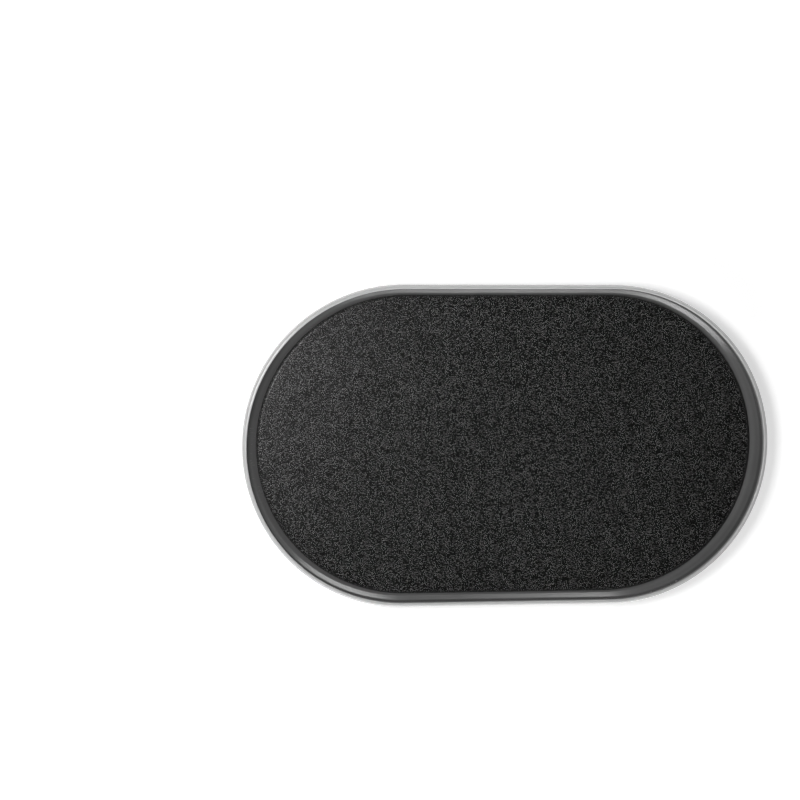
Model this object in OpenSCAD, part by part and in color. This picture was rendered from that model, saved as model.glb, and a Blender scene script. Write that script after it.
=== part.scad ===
// Large oval furniture slider: a moulded dish that slides on carpet, with a foam grip pad bonded inside it.
// The sliding face lies on the XY plane, the dish opens upwards, X runs along the slider and Y across it.

/* [Dish] */
// Overall length, over both round ends
slider_length = 241.3; // [200:0.1:280]
// Overall width, and twice the radius of each round end
slider_width = 146; // [120:0.1:170]
// Height from the sliding face to the top of the lip
dish_height = 18; // [16:0.1:22]
// Height of the upright rim band above the sloped wall
rim_height = 7.5; // [5:0.1:9]
// Angle of the sloped wall above the sliding face
slope_angle = 45; // [40:1:55]
// Thickness of the sloped wall
wall = 1.6; // [1.4:0.1:2.4]
// Thickness of the floor
floor_thickness = 2.2; // [1.6:0.1:2.8]
// Thickness of the rim band at the lip
rim_wall = 1.8; // [1.4:0.1:2.4]

/* [Edges] */
// Outer radius where the sliding face turns up into the sloped wall
shoulder_r = 6; // [4:0.1:8]
// Outer radius where the sloped wall turns into the rim band
rim_corner_r = 3.2; // [3:0.1:4.5]
// Outer radius of the lip, as a share of the rim band's thickness
lip_outer_share = 0.66; // [0.3:0.01:0.7]
// Inner radius of the lip, as a share of the rim band's thickness
lip_inner_share = 0.26; // [0.1:0.01:0.28]

/* [Grip pad] */
// Thickness of the foam pad
pad_thickness = 6.9; // [4.5:0.1:8]
// Gap between the pad's top edge and the sloped wall along the straight sides, measured level
pad_edge_gap = 1.3; // [1:0.05:2.5]
// Extra gap at the pad's round ends, over the one along its sides
pad_end_gap = 1.7; // [0:0.1:3]
// Gap between the pad's bevelled side and the sloped wall, measured square to the wall
pad_side_gap = 0.3; // [0.2:0.05:0.5]
// Share of the pad's upright side that its rolled top edge takes up
pad_roll_share = 0.8; // [0.4:0.05:0.9]
// Steepness of the rolled edge where it meets the upright side
pad_roll_angle = 40; // [25:1:55]
// Radius of the rolled edge, as a share of the largest that fits it
pad_roll_fill = 0.9; // [0.5:0.05:0.95]

/* [Adhesive film] */
// Thickness of the film under the pad
film_thickness = 0.2; // [0.1:0.05:0.4]
// Margin of bare flat floor left round the film
film_margin = 1; // [0.5:0.1:6]

/* [Hidden] */
$fn = 96;

// The oval is a straight stretch between two half rounds
end_r = slider_width / 2;
straight = slider_length - slider_width;
pad_straight = straight - 2 * pad_end_gap;

// Heights, from the sliding face up
slope_top = dish_height - rim_height;
film_top = floor_thickness + film_thickness;
pad_top = film_top + pad_thickness;

// Inner radii follow the outer ones through the wall
inner_shoulder_r = shoulder_r - wall;
inner_corner_r = rim_corner_r - wall;

// The lip is rolled outwards: a wide radius outside, a tight one inside and a narrow flat between them
lip_outer_r = rim_wall * lip_outer_share;
lip_inner_r = rim_wall * lip_inner_share;

// Distance inwards from the oval's outer edge to a line that runs beside the outer slope,
// at a depth measured square to it, where that line reaches a given height
function slope_inset(height, depth) = (slope_top - height) / tan(slope_angle) + depth / sin(slope_angle);

// Height at which that line reaches a given inset
function slope_height(inset, depth) = slope_top - (inset - depth / sin(slope_angle)) * tan(slope_angle);

// The pad's edge stands clear of the wall at the level of its top
pad_r = end_r - max(rim_wall, slope_inset(pad_top, wall)) - pad_edge_gap;
pad_depth = wall + pad_side_gap;
pad_bevel_top = slope_height(end_r - pad_r, pad_depth);

// The top edge rolls over in one wide arc, just short of the one that would take up the whole roll
pad_roll_drop = (pad_top - pad_bevel_top) * pad_roll_share;
pad_roll_width = pad_roll_drop / tan(pad_roll_angle);
pad_roll_r = pad_roll_fill * pad_roll_drop / (1 - cos(pad_roll_angle));

// The film lies on the flat floor inside the shoulder's inner radius, under the pad
floor_r = end_r - slope_inset(floor_thickness, wall) - inner_shoulder_r * tan(slope_angle / 2);
film_r = floor_r - film_margin;

// Half sections, as corners [x, height], each with the radius that rounds it.
// x is the distance from the middle of the oval, and every section starts and ends on its middle line.
dish_corners = [
    [0, 0],
    [end_r - slope_inset(0, 0), 0],
    [end_r, slope_top],
    [end_r, dish_height],
    [end_r - rim_wall, dish_height],
    [end_r - rim_wall, slope_height(rim_wall, wall)],
    [end_r - slope_inset(floor_thickness, wall), floor_thickness],
    [0, floor_thickness]
];
dish_radii = [0, shoulder_r, rim_corner_r, lip_outer_r, lip_inner_r, inner_corner_r, inner_shoulder_r, 0];

pad_corners = [
    [0, film_top],
    [end_r - slope_inset(film_top, pad_depth), film_top],
    [pad_r, pad_bevel_top],
    [pad_r, pad_top - pad_roll_drop],
    [pad_r - pad_roll_width, pad_top],
    [0, pad_top]
];
pad_radii = [0, inner_shoulder_r, 0, 0, pad_roll_r, 0];

function unit(v) = v / norm(v);
function turn(a, b) = a[0] * b[1] - a[1] * b[0];

// A rounded corner p between its neighbours a and b: the two tangent points, in order
function tangent_length(a, p, b, r) = let (u = unit(a - p), v = unit(b - p)) r * sqrt((1 + u * v) / (1 - u * v));
function tangent_points(a, p, b, r) =
    let (reach = tangent_length(a, p, b, r)) [p + unit(a - p) * reach, p + unit(b - p) * reach];

// Centre of the arc, on the bisector of the corner
function arc_centre(a, p, b, r) =
    let (reach = tangent_length(a, p, b, r)) p + unit(unit(a - p) + unit(b - p)) * norm([reach, r]);

// The sliver between a corner's arc and its chord
module arc_sliver(a, p, b, r) {
    ends = tangent_points(a, p, b, r);
    outwards = p - (ends[0] + ends[1]) / 2;
    intersection() {
        translate(arc_centre(a, p, b, r)) circle(r);
        polygon([ends[0], ends[1], ends[1] + outwards, ends[0] + outwards]);
    }
}

// Closed outline, listed anticlockwise, with each corner rounded by its own radius
module rounded_outline(corners, radii) {
    last = len(corners) - 1;
    function before(i) = corners[i == 0 ? last : i - 1];
    function after(i) = corners[i == last ? 0 : i + 1];
    function bends_out(i) = turn(corners[i] - before(i), after(i) - corners[i]) > 0;
    rounded = [for (i = [0:last]) if (radii[i] > 0) i];
    difference() {
        union() {
            polygon([
                for (i = [0:last]) each
                    radii[i] > 0 ? tangent_points(before(i), corners[i], after(i), radii[i]) : [corners[i]]
            ]);
            for (i = rounded) if (bends_out(i)) arc_sliver(before(i), corners[i], after(i), radii[i]);
        }
        for (i = rounded) if (!bends_out(i)) arc_sliver(before(i), corners[i], after(i), radii[i]);
    }
}

// Carries a half section round an oval: along both sides of its straight stretch and round both ends
module carry_round_oval(stretch) {
    for (side = [0, 1]) mirror([0, side, 0])
        translate([-stretch / 2, 0, 0]) rotate([90, 0, 90]) linear_extrude(stretch) children();
    for (end = [0, 1]) mirror([end, 0, 0])
        translate([stretch / 2, 0, 0]) rotate([0, 0, -90]) rotate_extrude(angle = 180) children();
}

module slider_dish() {
    color("darkgray") carry_round_oval(straight) rounded_outline(dish_corners, dish_radii);
}

module grip_pad() {
    color("dimgray") carry_round_oval(pad_straight) rounded_outline(pad_corners, pad_radii);
}

module adhesive_film() {
    color("ivory") carry_round_oval(pad_straight)
        translate([0, floor_thickness]) square([film_r, film_thickness]);
}

slider_dish();
grip_pad();
adhesive_film();
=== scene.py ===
"""Looks of a large oval furniture slider: a moulded grey dish with a black foam grip pad bonded inside it.

The slider lies on its sliding face, with X along it, Y across it and Z up out of the dish.
Lengths are in metres.
"""

import math

import bmesh
import bpy
import numpy as np
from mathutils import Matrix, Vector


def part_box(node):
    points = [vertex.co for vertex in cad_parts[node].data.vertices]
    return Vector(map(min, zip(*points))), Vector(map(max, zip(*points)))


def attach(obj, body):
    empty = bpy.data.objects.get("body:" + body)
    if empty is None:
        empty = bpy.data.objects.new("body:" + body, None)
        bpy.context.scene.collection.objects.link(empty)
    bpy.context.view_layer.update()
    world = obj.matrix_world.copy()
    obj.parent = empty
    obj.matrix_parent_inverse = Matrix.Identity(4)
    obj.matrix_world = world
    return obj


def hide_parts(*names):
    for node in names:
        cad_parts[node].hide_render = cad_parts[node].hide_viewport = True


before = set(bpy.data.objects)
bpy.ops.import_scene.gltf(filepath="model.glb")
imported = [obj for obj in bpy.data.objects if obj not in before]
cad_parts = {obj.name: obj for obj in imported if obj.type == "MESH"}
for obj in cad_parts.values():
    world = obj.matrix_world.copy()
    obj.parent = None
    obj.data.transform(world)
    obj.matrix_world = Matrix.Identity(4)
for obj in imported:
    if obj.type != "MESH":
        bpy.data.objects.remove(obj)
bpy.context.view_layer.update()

MM = 0.001

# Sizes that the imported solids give
dish_low, dish_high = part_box("slider_dish")
pad_low, pad_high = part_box("grip_pad")
DISH_HEIGHT = dish_high.z
END_R = (dish_high.y - dish_low.y) / 2
STRAIGHT = dish_high.x - dish_low.x - 2 * END_R
PAD_R = (pad_high.y - pad_low.y) / 2
PAD_TOP = pad_high.z
FILM_TOP = pad_low.z

# Sizes of the moulded section, as in the part's source
RIM_HEIGHT = 7.5 * MM
SLOPE_ANGLE = math.radians(45)
WALL = 1.6 * MM
FLOOR_THICKNESS = 2.2 * MM
RIM_WALL = 1.8 * MM
SHOULDER_R = 6 * MM
RIM_CORNER_R = 3.2 * MM
LIP_OUTER_R = 0.66 * RIM_WALL
LIP_INNER_R = 0.26 * RIM_WALL
SLOPE_TOP = DISH_HEIGHT - RIM_HEIGHT

# Sizes of the foam pad: its cut, its rolled edge, the lumps of its top and the wave in its cut edge
PAD_END_GAP = 1.7 * MM
PAD_SIDE_GAP = 0.3 * MM
PAD_STRAIGHT = STRAIGHT - 2 * PAD_END_GAP
PAD_DEPTH = WALL + PAD_SIDE_GAP
PAD_ROLL_SHARE = 0.8
PAD_ROLL_ANGLE = math.radians(40)
PAD_ROLL_FILL = 0.9
PAD_PRESSED_WIDTH = 3 * MM
PAD_LUMP_SIZES = (6 * MM, 2.2 * MM)
PAD_LUMP_HEIGHTS = (0.05 * MM, 0.03 * MM)
PAD_CUT_WAVE = 0.12 * MM
PAD_CUT_WAVE_SIZE = 9 * MM
PAD_CUT_WAVE_SHARE = 0.25
PAD_SEED = 41
LATTICE_CELLS = 256

# Steps of the grids: round each end, along each side, round an arc, and the longest step along a flat
DISH_END_STEPS = 120
DISH_SIDE_STEPS = 48
DISH_FLAT_STEP = 4 * MM
PAD_END_STEPS = 200
PAD_SIDE_STEPS = 84
PAD_FLAT_STEP = 1 * MM
ARC_STEPS = 10
LEAST_FLAT_STEPS = 4
MERGE_DISTANCE = 0.001 * MM

# Ranges that more than one material uses
FULL = (0.0, 1.0)
CLOUD_RANGE = (0.3, 0.7)

# Handling marks: broad clouds, and fine streaks that run nearly along the slider
CLOUDS_PER_METRE = 22.0
CLOUD_DETAIL = 4.0
MARK_ROUGHNESS = 0.6
STREAK_TURN = math.radians(12)
STREAKS_PER_METRE = (60, 2400, 300)
STREAK_DETAIL = 3.0
STREAK_RANGE = (0.6, 0.72)

# Moulded plastic: greys, heights at which the tone changes, and how much painted shade darkens each place
PLASTIC_GREYS = (0.07, 0.5)
PLASTIC_CLOUDING = (0.95, 1.0)
LIP_HEIGHTS = (14.8 * MM, 17.8 * MM)
SLOPE_HEIGHTS = (8.4 * MM, 9.6 * MM)
SLOPE_PAINTED_SHADE = (0.93, 1.0)
INSIDE_PAINTED_SHADE = 0.92
OUTSIDE_PAINTED_SHADE = 0.28
SOLE_HEIGHTS = (0.4 * MM, 2.5 * MM)
STREAKS_OFF_SOLE = 0.15
STREAK_DULLNESS = 0.15
PLASTIC_ROUGHNESS = (0.2, 0.28)
PLASTIC_IOR = 1.5
SKIN_PER_METRE = 1800.0
SKIN_DETAIL = 2.0
SKIN_STRENGTH = 0.25
SKIN_HEIGHT = 0.02 * MM

# Pebble grain of the foam, with distances from a pebble's middle in pebbles
PEBBLES_PER_METRE = 2000.0
PEBBLE_SCATTER = 0.9
PEBBLE_BLEND = 0.4
PEBBLE_DOME = 0.3
PEBBLE_CREASE = (0.12, 0.52)
PEBBLE_TONES = (0.38, 1.0)
GRAIN_HEIGHT = 0.05 * MM

# Foam: greys, the part of a pebble's tone that shows as specks (partly painted glints), and the edge where
# the cut pressed the grain flat and painted shade darkens it
FOAM_GREYS = (0.001, 0.44)
FOAM_CLOUDING = (0.8, 1.0)
SPECK_AND_GLINT_RANGE = (0.53, 0.84)
PRESSED_RANGE = (0.55, 0.95)
PRESSED_GRAIN = 0.2
PRESSED_TONE_AND_SHADE = 0.06
POLISH_RANGE = (0.0, 0.8)
FOAM_ROUGHNESS = (0.34, 0.26)
FOAM_IOR = 1.24

# Adhesive film
FILM_GREYS = (0.72, 0.8)
FILM_ROUGHNESS = (0.5, 0.65)

# Lit table whose glow is painted light, weaker in the middle, and the surround that is bright near its level
TABLE_SIZE = 6
TABLE_GREYS = (0.7, 0.74)
TABLE_CLOUDS_PER_METRE = 3.0
TABLE_CLOUD_DETAIL = 2.0
TABLE_PAINTED_LIGHT_REACH = (0.12, 0.42)
TABLE_GLOW = (0.52, 0.92)
TABLE_ROUGHNESS = 0.5
SURROUND_RISE = (0.07, 0.17)
SURROUND_GLOW = (1.2, 0.05)

# Camera that lays the rim, the wall and the pad's edge over the photograph
CAMERA_PLACE = (-167.5 * MM, 102.2 * MM, 997.2 * MM)
CAMERA_TURN = (math.radians(-4.72), math.radians(-6.83), math.radians(0.25))
CAMERA_LENS = 99
SENSOR_WIDTH = 36


def slope_inset(height, depth):
    """Distance inwards from the oval's edge to a line beside the outer slope, at a depth square to it."""
    return (SLOPE_TOP - height) / math.tan(SLOPE_ANGLE) + depth / math.sin(SLOPE_ANGLE)


def slope_height(inset, depth):
    """Height at which that line reaches a given inset."""
    return SLOPE_TOP - (inset - depth / math.sin(SLOPE_ANGLE)) * math.tan(SLOPE_ANGLE)


def rounded_section(corners, radii, flat_step):
    """Points [reach, height] along a section whose corners are rounded.

    Each corner gives an arc between its two tangent points, in equal angles. The flat between two arcs is
    cut so that its steps shrink towards an arc, by half a cosine wave, which keeps the shading flat in the
    middle.
    """
    corners = np.array(corners)
    runs = []
    for place, radius in enumerate(radii):
        corner = corners[place]
        if radius == 0:
            runs.append(corner[None, :])
            continue
        back = corners[place - 1] - corner
        on = corners[place + 1] - corner
        back = back / np.linalg.norm(back)
        on = on / np.linalg.norm(on)
        half_angle = math.acos(back @ on) / 2
        middle = (back + on) / np.linalg.norm(back + on)
        centre = corner + middle * radius / math.sin(half_angle)
        first = corner + back * radius / math.tan(half_angle) - centre
        last = corner + on * radius / math.tan(half_angle) - centre
        share = np.linspace(0, 1, ARC_STEPS + 1)[:, None]
        sweep = math.pi - 2 * half_angle
        arc = (np.sin((1 - share) * sweep) * first + np.sin(share * sweep) * last) / math.sin(sweep)
        runs.append(centre + arc)
    points = [runs[0]]
    for run_before, run in zip(runs[:-1], runs[1:]):
        start, end = run_before[-1], run[0]
        steps = max(LEAST_FLAT_STEPS, math.ceil(np.linalg.norm(end - start) / flat_step))
        share = (1 - np.cos(np.linspace(0, 1, steps + 1)[1:-1, None] * math.pi)) / 2
        points.append(start + share * (end - start))
        points.append(run)
    return np.concatenate(points)


def oval_path(straight, end_steps, side_steps):
    """Stations round an oval: the point on the middle line, and the direction outwards.

    Round an end the point stays at the end's centre while the direction turns half a circle. Along a side
    the direction stays square to the middle line while the point slides along it.
    """
    half = straight / 2
    turn = np.linspace(-0.5, 0.5, end_steps, endpoint=False) * math.pi
    slide = np.linspace(half, -half, side_steps, endpoint=False)
    side = np.full(side_steps, 0.5 * math.pi)
    middle = np.concatenate([np.full(end_steps, half), slide, np.full(end_steps, -half), -slide])
    angle = np.concatenate([turn, side, turn + math.pi, side + math.pi])
    return middle, np.cos(angle), np.sin(angle)


def carry_round_oval(section, path):
    """Grid of points, station by station.

    The section's reach goes outwards from the middle line, and its height goes up.
    """
    middle, outward_x, outward_y = path
    reach, height = section.T
    x = middle[:, None] + outward_x[:, None] * reach
    y = outward_y[:, None] * reach
    z = np.broadcast_to(height, x.shape)
    return np.stack([x, y, z], axis=-1)


def ring_mesh(name, grid, mask_name, mask):
    """Mesh object of a grid that closes on itself round the oval.

    Its middle line is merged to one row of points. The mask gives one value for each row of the section, and
    goes into the mesh as a named attribute.
    """
    stations, rows, _ = grid.shape
    index = np.arange(stations * rows).reshape(stations, rows)
    ahead = np.roll(index, -1, axis=0)
    quads = np.stack([index[:, :-1], ahead[:, :-1], ahead[:, 1:], index[:, 1:]], axis=-1).reshape(-1, 4)
    mesh = bpy.data.meshes.new(name)
    mesh.from_pydata(grid.reshape(-1, 3), [], quads)
    values = np.ascontiguousarray(np.broadcast_to(mask, (stations, rows)).ravel(), dtype=np.float32)
    mesh.attributes.new(mask_name, "FLOAT", "POINT").data.foreach_set("value", values)
    work = bmesh.new()
    work.from_mesh(mesh)
    bmesh.ops.remove_doubles(work, verts=work.verts, dist=MERGE_DISTANCE)
    work.to_mesh(mesh)
    work.free()
    mesh.shade_smooth()
    piece = bpy.data.objects.new(name, mesh)
    bpy.context.scene.collection.objects.link(piece)
    return piece


def soft_noise(x, y, size, seed):
    """Smooth random height from -1 to 1: random values on a square lattice, eased from cell to cell."""
    lattice = np.random.default_rng(seed).uniform(-1, 1, (LATTICE_CELLS, LATTICE_CELLS))
    column, across = np.divmod(x / size, 1)
    row, along = np.divmod(y / size, 1)
    column = column.astype(int) % LATTICE_CELLS
    row = row.astype(int) % LATTICE_CELLS
    next_column = (column + 1) % LATTICE_CELLS
    next_row = (row + 1) % LATTICE_CELLS
    across = across * across * (3 - 2 * across)
    along = along * along * (3 - 2 * along)
    near = lattice[column, row] * (1 - across) + lattice[next_column, row] * across
    far = lattice[column, next_row] * (1 - across) + lattice[next_column, next_row] * across
    return near * (1 - along) + far * along


def moulded_dish():
    """The dish: one rounded section carried round the oval.

    The section runs from the middle of the sliding face over the lip to the middle of the floor. The inside
    mask is 0 on the outer side, rises across the lip with the distance from the oval's edge, and is 1 on the
    inner side.
    """
    corners = [
        (0, 0),
        (END_R - slope_inset(0, 0), 0),
        (END_R, SLOPE_TOP),
        (END_R, DISH_HEIGHT),
        (END_R - RIM_WALL, DISH_HEIGHT),
        (END_R - RIM_WALL, slope_height(RIM_WALL, WALL)),
        (END_R - slope_inset(FLOOR_THICKNESS, WALL), FLOOR_THICKNESS),
        (0, FLOOR_THICKNESS),
    ]
    inner_corner_r = RIM_CORNER_R - WALL
    inner_shoulder_r = SHOULDER_R - WALL
    radii = [0, SHOULDER_R, RIM_CORNER_R, LIP_OUTER_R, LIP_INNER_R, inner_corner_r, inner_shoulder_r, 0]
    section = rounded_section(corners, radii, DISH_FLAT_STEP)
    grid = carry_round_oval(section, oval_path(STRAIGHT, DISH_END_STEPS, DISH_SIDE_STEPS))
    across_lip = np.clip((END_R - section[:, 0]) / RIM_WALL, 0, 1)
    inside = across_lip * (np.arange(len(section)) > np.argmax(section[:, 1]))
    return ring_mesh("moulded_dish", grid, "inside", inside)


def foam_pad():
    """The pad: a section with a bevelled side and a rolled top edge, carried round an oval of its own.

    That oval is shorter than the dish's. The top has soft lumps: soft noise in two sizes, faded in over the
    height of the cut side. The cut edge has a slight wave, which moves it in and out, and fades out towards
    the bottom and towards the middle of the top. The pressed edge mask rises evenly to 1 at the cut; the foam
    uses it both to press the grain flat and to paint shade along the gap by the wall.
    """
    bevel_top = slope_height(END_R - PAD_R, PAD_DEPTH)
    roll_drop = (PAD_TOP - bevel_top) * PAD_ROLL_SHARE
    roll_r = PAD_ROLL_FILL * roll_drop / (1 - math.cos(PAD_ROLL_ANGLE))
    corners = [
        (0, FILM_TOP),
        (END_R - slope_inset(FILM_TOP, PAD_DEPTH), FILM_TOP),
        (PAD_R, bevel_top),
        (PAD_R, PAD_TOP - roll_drop),
        (PAD_R - roll_drop / math.tan(PAD_ROLL_ANGLE), PAD_TOP),
        (0, PAD_TOP),
    ]
    section = rounded_section(corners, [0, SHOULDER_R - WALL, 0, 0, roll_r, 0], PAD_FLAT_STEP)
    path = oval_path(PAD_STRAIGHT, PAD_END_STEPS, PAD_SIDE_STEPS)
    grid = carry_round_oval(section, path)
    x, y, z = np.moveaxis(grid, -1, 0)
    raised = np.clip((z - bevel_top) / (PAD_TOP - bevel_top), 0, 1)
    near_edge = np.clip((section[:, 0] / PAD_R - 1) / PAD_CUT_WAVE_SHARE + 1, 0, 1)
    wave = soft_noise(x, y, PAD_CUT_WAVE_SIZE, PAD_SEED) * PAD_CUT_WAVE * raised * near_edge
    lumps = sum(
        soft_noise(x, y, size, PAD_SEED + place + 1) * height
        for place, (size, height) in enumerate(zip(PAD_LUMP_SIZES, PAD_LUMP_HEIGHTS))
    )
    top = (section[:, 1] > PAD_TOP - roll_drop) * raised
    _, outward_x, outward_y = path
    moved = grid + np.stack(
        [outward_x[:, None] * wave, outward_y[:, None] * wave, (lumps - sum(PAD_LUMP_HEIGHTS)) * top],
        axis=-1,
    )
    pressed = np.clip((section[:, 0] - PAD_R) / PAD_PRESSED_WIDTH + 1, 0, 1)
    return ring_mesh("foam_pad", moved, "pressed_edge_and_shade", pressed)


def add_node(tree, kind, inputs=None, **settings):
    """New node with its settings, and with each input set to a value or linked to another node's socket."""
    node = tree.nodes.new(kind)
    for name, value in settings.items():
        setattr(node, name, value)
    for socket, value in (inputs or {}).items():
        if isinstance(value, bpy.types.NodeSocket):
            tree.links.new(value, node.inputs[socket])
        else:
            node.inputs[socket].default_value = value
    return node


def spread(tree, value, span, result, curve="LINEAR"):
    """A value's span, carried over to a result's span and held at its ends."""
    low, high = span
    to_low, to_high = result
    ends = {"Value": value, "From Min": low, "From Max": high, "To Min": to_low, "To Max": to_high}
    return add_node(tree, "ShaderNodeMapRange", ends, interpolation_type=curve).outputs["Result"]


def sums(tree, operation, first, second):
    """Two values added, subtracted or multiplied."""
    return add_node(tree, "ShaderNodeMath", {0: first, 1: second}, operation=operation).outputs["Value"]


def rest_of(tree, share):
    """What a share leaves of the whole."""
    return sums(tree, "SUBTRACT", 1.0, share)


def vector_sums(tree, operation, first, second, output="Vector"):
    """Two vectors subtracted or multiplied, or their dot product."""
    node = add_node(tree, "ShaderNodeVectorMath", {0: first, 1: second}, operation=operation)
    return node.outputs[output]


def grey_mix(tree, share, greys):
    """A grey between a dark and a light one."""
    dark, light = greys
    inputs = {"Factor": share, 6: (dark, dark, dark, 1), 7: (light, light, light, 1)}
    return add_node(tree, "ShaderNodeMix", inputs, data_type="RGBA").outputs[2]


def noise(tree, vector, scale, detail, **inputs):
    """Cloudy noise at a number of clouds per metre."""
    settings = {"Vector": vector, "Scale": scale, "Detail": detail, **inputs}
    return add_node(tree, "ShaderNodeTexNoise", settings).outputs["Fac"]


def effect_group(name, inputs, outputs):
    """Empty node group with its named sockets, and its inner input and output nodes."""
    group = bpy.data.node_groups.new(name, "ShaderNodeTree")
    for socket, kind in inputs:
        group.interface.new_socket(socket, in_out="INPUT", socket_type=kind)
    for socket in outputs:
        group.interface.new_socket(socket, in_out="OUTPUT", socket_type="NodeSocketFloat")
    return group, group.nodes.new("NodeGroupInput").outputs, group.nodes.new("NodeGroupOutput").inputs


def pebble_grain():
    """Effect: closely packed pebbles, laid out flat, each with a lean, a tone and a polish of its own.

    A pebble is a low dome, so the height falls with the distance from its middle. Its top leans its own way:
    the step from its middle, times a random direction. The tone and the polish are random from pebble to
    pebble too, and fall to nothing in the creases between them; the tone's fall there is painted shade.
    """
    sockets = [("Vector", "NodeSocketVector"), ("Per Metre", "NodeSocketFloat")]
    group, given, result = effect_group("pebble_grain", sockets, ["Height", "Tone And Crease Shade", "Polish"])
    flat = vector_sums(group, "MULTIPLY", given["Vector"], (1, 1, 0))
    packing = {"Vector": flat, "Scale": given["Per Metre"], "Randomness": PEBBLE_SCATTER}
    pebble = add_node(group, "ShaderNodeTexVoronoi", packing, voronoi_dimensions="2D").outputs
    dome = add_node(
        group,
        "ShaderNodeTexVoronoi",
        {**packing, "Smoothness": PEBBLE_BLEND},
        voronoi_dimensions="2D",
        feature="SMOOTH_F1",
    ).outputs["Distance"]
    step = vector_sums(group, "SUBTRACT", flat, pebble["Position"])
    chance = add_node(group, "ShaderNodeTexWhiteNoise", {"Vector": pebble["Position"]}).outputs["Color"]
    lean = vector_sums(group, "SUBTRACT", chance, (0.5, 0.5, 0.5))
    leaning = vector_sums(group, "DOT_PRODUCT", step, lean, "Value")
    leaning = sums(group, "MULTIPLY", leaning, given["Per Metre"])
    height = sums(group, "SUBTRACT", leaning, sums(group, "MULTIPLY", dome, PEBBLE_DOME))
    own = add_node(group, "ShaderNodeSeparateColor", {"Color": pebble["Color"]}).outputs
    # The tone falls to nothing in the creases: painted shade
    top = rest_of(group, spread(group, pebble["Distance"], PEBBLE_CREASE, FULL))
    tone = spread(group, own["Red"], FULL, PEBBLE_TONES)
    group.links.new(height, result["Height"])
    group.links.new(sums(group, "MULTIPLY", tone, top), result["Tone And Crease Shade"])
    group.links.new(sums(group, "MULTIPLY", own["Green"], top), result["Polish"])
    return group


def handling_marks():
    """Shared effect: broad soft clouding, and fine streaks from handling."""
    sockets = [("Vector", "NodeSocketVector")]
    group, given, result = effect_group("handling_marks", sockets, ["Clouding", "Streaks"])
    clouds = noise(group, given["Vector"], CLOUDS_PER_METRE, CLOUD_DETAIL, Roughness=MARK_ROUGHNESS)
    stretched = add_node(
        group,
        "ShaderNodeMapping",
        {"Vector": given["Vector"], "Rotation": (0, 0, STREAK_TURN), "Scale": STREAKS_PER_METRE},
    ).outputs["Vector"]
    streaks = noise(group, stretched, 1.0, STREAK_DETAIL, Roughness=MARK_ROUGHNESS)
    group.links.new(clouds, result["Clouding"])
    group.links.new(spread(group, streaks, STREAK_RANGE, FULL), result["Streaks"])
    return group


def new_material(name):
    """Material with an empty node tree, its Principled shader and its object coordinates."""
    material = bpy.data.materials.new(name)
    material.use_nodes = True
    tree = material.node_tree
    tree.nodes.clear()
    shader = tree.nodes.new("ShaderNodeBsdfPrincipled")
    output = tree.nodes.new("ShaderNodeOutputMaterial")
    tree.links.new(shader.outputs["BSDF"], output.inputs["Surface"])
    place = tree.nodes.new("ShaderNodeTexCoord").outputs["Object"]
    return material, tree, shader, place


def moulded_plastic(marks):
    """Satin grey moulded plastic: faint clouding, a fine moulded skin, and a sole dulled by sliding.

    The lip shows the plastic's own light grey. Below it the outer side carries a little painted shade, and
    the inner wall carries much painted shade, most of all above the pad.
    """
    material, tree, shader, place = new_material("moulded_plastic")
    skin = noise(tree, place, SKIN_PER_METRE, SKIN_DETAIL)
    worn = add_node(tree, "ShaderNodeGroup", {"Vector": place}, node_tree=marks).outputs
    clouding = worn["Clouding"]
    height = add_node(tree, "ShaderNodeSeparateXYZ", {"Vector": place}).outputs["Z"]
    inside = add_node(tree, "ShaderNodeAttribute", attribute_name="inside").outputs["Fac"]
    below_lip = rest_of(tree, spread(tree, height, LIP_HEIGHTS, FULL))
    # Masks that place the painted shade below the lip, on the outer side and on the inner wall
    outer_side_painted_shade = sums(tree, "MULTIPLY", below_lip, rest_of(tree, inside))
    inner_wall_painted_shade = sums(tree, "MULTIPLY", below_lip, inside)
    # The inner wall's painted shade eases a little below the pad's top
    inner_wall_painted_shade = sums(tree, "MULTIPLY", inner_wall_painted_shade, spread(tree, height, SLOPE_HEIGHTS, SLOPE_PAINTED_SHADE))
    tone = spread(tree, clouding, CLOUD_RANGE, PLASTIC_CLOUDING)
    # Painted shade: the inner wall, and less the outer side, are darkened from the lip's grey
    tone = sums(tree, "SUBTRACT", tone, sums(tree, "MULTIPLY", inner_wall_painted_shade, INSIDE_PAINTED_SHADE))
    tone = sums(tree, "SUBTRACT", tone, sums(tree, "MULTIPLY", outer_side_painted_shade, OUTSIDE_PAINTED_SHADE))
    tree.links.new(grey_mix(tree, tone, PLASTIC_GREYS), shader.inputs["Base Color"])
    sole = rest_of(tree, spread(tree, height, SOLE_HEIGHTS, FULL))
    streaks = sums(tree, "MULTIPLY", worn["Streaks"], spread(tree, sole, FULL, (STREAKS_OFF_SOLE, 1.0)))
    satin = spread(tree, clouding, CLOUD_RANGE, PLASTIC_ROUGHNESS)
    dulled = sums(tree, "ADD", satin, sums(tree, "MULTIPLY", streaks, STREAK_DULLNESS))
    tree.links.new(dulled, shader.inputs["Roughness"])
    bump = add_node(
        tree,
        "ShaderNodeBump",
        {"Height": skin, "Strength": SKIN_STRENGTH, "Distance": SKIN_HEIGHT},
    )
    tree.links.new(bump.outputs["Normal"], shader.inputs["Normal"])
    shader.inputs["IOR"].default_value = PLASTIC_IOR
    return material


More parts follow.
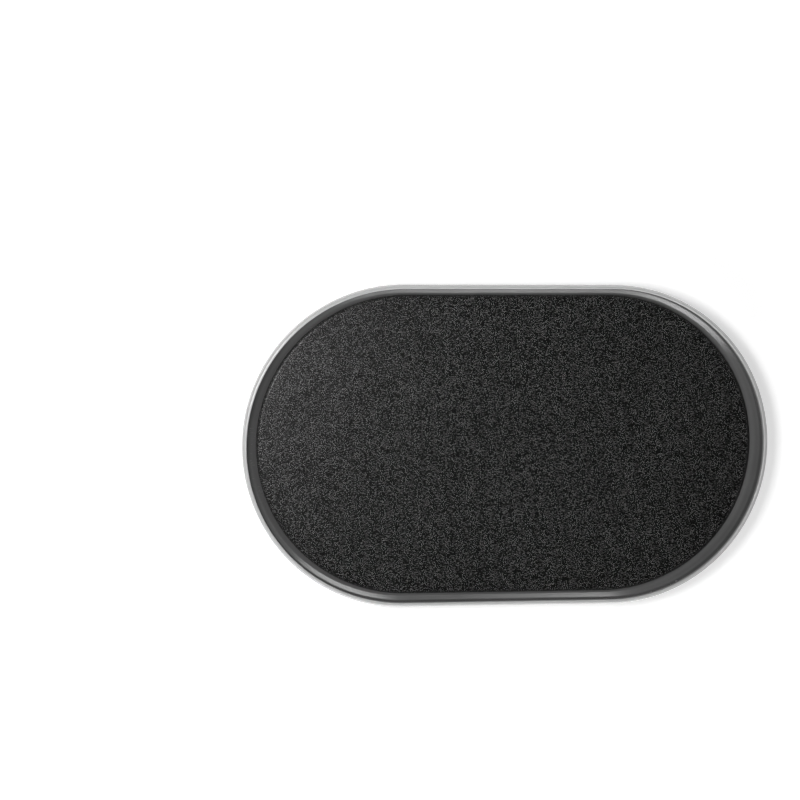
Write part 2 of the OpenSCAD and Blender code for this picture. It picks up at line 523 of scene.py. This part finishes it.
def grained_foam(grain, marks):
    """Black foam rubber with an embossed pebble grain.

    The pebbles' tops carry bright specks, partly their own tone and partly painted glints, and the creases
    are painted black as painted shade. Towards the cut the grain is pressed nearly flat, into an even dark
    grey that is partly painted shade along the gap by the wall.
    """
    material, tree, shader, place = new_material("grained_foam")
    embossed = {"Vector": place, "Per Metre": PEBBLES_PER_METRE}
    pebbles = add_node(tree, "ShaderNodeGroup", embossed, node_tree=grain).outputs
    worn = add_node(tree, "ShaderNodeGroup", {"Vector": place}, node_tree=marks).outputs
    clouding = spread(tree, worn["Clouding"], CLOUD_RANGE, FOAM_CLOUDING)
    pressed = add_node(tree, "ShaderNodeAttribute", attribute_name="pressed_edge_and_shade").outputs["Fac"]
    grained = spread(tree, pressed, PRESSED_RANGE, (1.0, PRESSED_GRAIN))
    # Bright specks on the pebbles' tops: partly their own tone, partly painted glints
    speck_and_glint = sums(tree, "MULTIPLY", spread(tree, pebbles["Tone And Crease Shade"], SPECK_AND_GLINT_RANGE, FULL), clouding)
    # Painted shade: the pressed edge takes an even darker grey along the gap by the wall
    smooth = sums(tree, "MULTIPLY", rest_of(tree, grained), PRESSED_TONE_AND_SHADE)
    tone = sums(tree, "ADD", sums(tree, "MULTIPLY", speck_and_glint, grained), smooth)
    tree.links.new(grey_mix(tree, tone, FOAM_GREYS), shader.inputs["Base Color"])
    satin = spread(tree, pebbles["Polish"], POLISH_RANGE, FOAM_ROUGHNESS)
    tree.links.new(satin, shader.inputs["Roughness"])
    height = sums(tree, "MULTIPLY", pebbles["Height"], grained)
    bump = add_node(
        tree,
        "ShaderNodeBump",
        {"Height": height, "Strength": 1.0, "Distance": GRAIN_HEIGHT},
    )
    tree.links.new(bump.outputs["Normal"], shader.inputs["Normal"])
    shader.inputs["IOR"].default_value = FOAM_IOR
    return material


def tacky_film(marks):
    """Thin adhesive film: off-white with faint clouding."""
    material, tree, shader, place = new_material("tacky_film")
    clouding = add_node(tree, "ShaderNodeGroup", {"Vector": place}, node_tree=marks).outputs["Clouding"]
    tone = spread(tree, clouding, CLOUD_RANGE, FULL)
    tree.links.new(grey_mix(tree, tone, FILM_GREYS), shader.inputs["Base Color"])
    tree.links.new(spread(tree, clouding, CLOUD_RANGE, FILM_ROUGHNESS), shader.inputs["Roughness"])
    return material


def lit_table():
    """Pale floor that glows from below with painted light, less in the middle under the slider, where the
    lamps light it.
    """
    material, tree, shader, place = new_material("lit_table")
    clouds = noise(tree, place, TABLE_CLOUDS_PER_METRE, TABLE_CLOUD_DETAIL)
    tree.links.new(grey_mix(tree, clouds, TABLE_GREYS), shader.inputs["Base Color"])
    from_middle = add_node(tree, "ShaderNodeVectorMath", {0: place}, operation="LENGTH").outputs["Value"]
    # Painted light: the glow rises away from the middle, where the lamps light the floor less
    glow = spread(tree, from_middle, TABLE_PAINTED_LIGHT_REACH, TABLE_GLOW, "SMOOTHSTEP")
    tree.links.new(grey_mix(tree, glow, FULL), shader.inputs["Emission Color"])
    shader.inputs["Roughness"].default_value = TABLE_ROUGHNESS
    shader.inputs["Emission Strength"].default_value = 1.0
    return material


def table_top(size):
    """Flat square floor under the slider."""
    half = size / 2
    mesh = bpy.data.meshes.new("table_top")
    corners = [(-half, -half, 0), (half, -half, 0), (half, half, 0), (-half, half, 0)]
    mesh.from_pydata(corners, [], [(0, 1, 2, 3)])
    floor = bpy.data.objects.new("table_top", mesh)
    bpy.context.scene.collection.objects.link(floor)
    return floor


def soft_box(name, place, size, power):
    """Rectangular soft light aimed at the middle of the slider, and out of the camera's sight."""
    light = bpy.data.lights.new(name, "AREA")
    light.shape = "RECTANGLE"
    light.size, light.size_y = size
    light.energy = power
    lamp = bpy.data.objects.new(name, light)
    lamp.location = place
    lamp.rotation_mode = "QUATERNION"
    lamp.rotation_quaternion = (-lamp.location).to_track_quat("-Z", "Y")
    lamp.visible_camera = False
    bpy.context.scene.collection.objects.link(lamp)


def studio_surround():
    """Even surround: bright near the level of the table, dim overhead, with a smooth change between them."""
    world = bpy.data.worlds.new("studio_surround")
    bpy.context.scene.world = world
    world.use_nodes = True
    tree = world.node_tree
    tree.nodes.clear()
    towards = tree.nodes.new("ShaderNodeTexCoord").outputs["Generated"]
    up = add_node(tree, "ShaderNodeSeparateXYZ", {"Vector": towards}).outputs["Z"]
    level = spread(tree, up, SURROUND_RISE, SURROUND_GLOW, "SMOOTHSTEP")
    glow = add_node(tree, "ShaderNodeBackground", {"Strength": level})
    output = tree.nodes.new("ShaderNodeOutputWorld")
    tree.links.new(glow.outputs["Background"], output.inputs["Surface"])


def photo_camera():
    """Camera above the slider, a little to the left and behind, as the photograph sees it."""
    lens = bpy.data.cameras.new("photo_camera")
    lens.lens = CAMERA_LENS
    lens.sensor_width = SENSOR_WIDTH
    camera = bpy.data.objects.new("photo_camera", lens)
    camera.location = CAMERA_PLACE
    camera.rotation_euler = CAMERA_TURN
    bpy.context.scene.collection.objects.link(camera)
    bpy.context.scene.camera = camera


photo_camera()
studio_surround()

# The key light gives the left of the pad its sheen, and the low strips shade the inner wall
soft_box("front_light", place=(-0.25, -0.9, 0.5), size=(0.8, 0.3), power=1.8)
soft_box("key_light", place=(-0.19, 0.06, 0.52), size=(0.13, 0.13), power=2.3)
soft_box("front_strip", place=(-0.1, -1.2, 0.13), size=(1.4, 0.1), power=9.5)
soft_box("far_strip", place=(0.6, 1.04, 0.15), size=(0.8, 0.1), power=4)
bpy.context.scene.view_settings.view_transform = "Standard"

grain = pebble_grain()
marks = handling_marks()

floor = table_top(TABLE_SIZE)
floor.data.materials.append(lit_table())

dish = moulded_dish()
dish.data.materials.append(moulded_plastic(marks))
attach(dish, "root")
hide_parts("slider_dish")

pad = foam_pad()
pad.data.materials.append(grained_foam(grain, marks))
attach(pad, "root")
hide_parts("grip_pad")

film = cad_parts["adhesive_film"]
film.data.materials.clear()
film.data.materials.append(tacky_film(marks))
